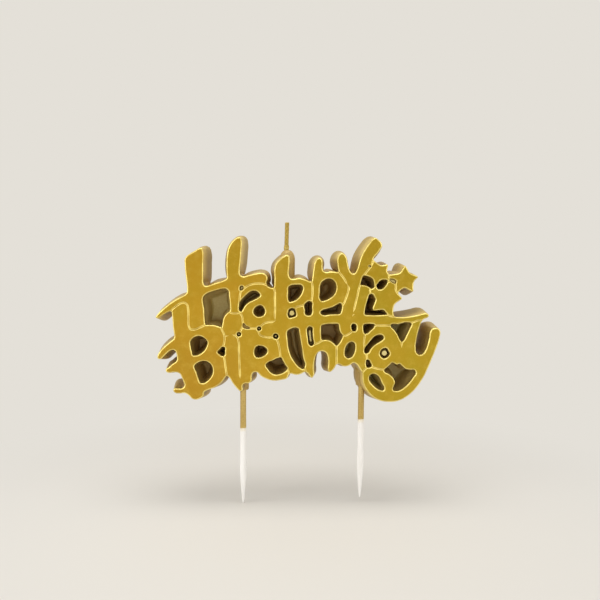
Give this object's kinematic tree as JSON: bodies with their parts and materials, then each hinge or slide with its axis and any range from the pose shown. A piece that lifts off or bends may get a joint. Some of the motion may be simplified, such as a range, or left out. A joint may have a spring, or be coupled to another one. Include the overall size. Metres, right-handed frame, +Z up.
{
  "type": "script lettering cake candle",
  "caption": "Cast wax cake candle shaped as fused script lettering with small stars, a wick standing on top and pointed plastic picks below to push into a cake.",
  "frame": {"origin": "midway between the two picks, at the level of the cake's top", "axes": "+X to the right seen from the lettering's front, front towards -Y, +Z up along the left pick"},
  "size_m": [0.1041, 0.013, 0.1022],
  "materials": {
    "gold_lacquered_wax": "metallic gold lacquer over cast wax, satin on the faces and duller down the side walls",
    "lacquered_wick": "waxed cotton braid under a thin gold lacquer",
    "pick_plastic": "white moulded plastic, gold lacquer overspray on the upper part"
  },
  "bodies": {
    "root": {"wax_lettering": "gold_lacquered_wax", "wick": "lacquered_wick", "left_pick": "pick_plastic", "right_pick": "pick_plastic"}
  },
  "joints": []
}
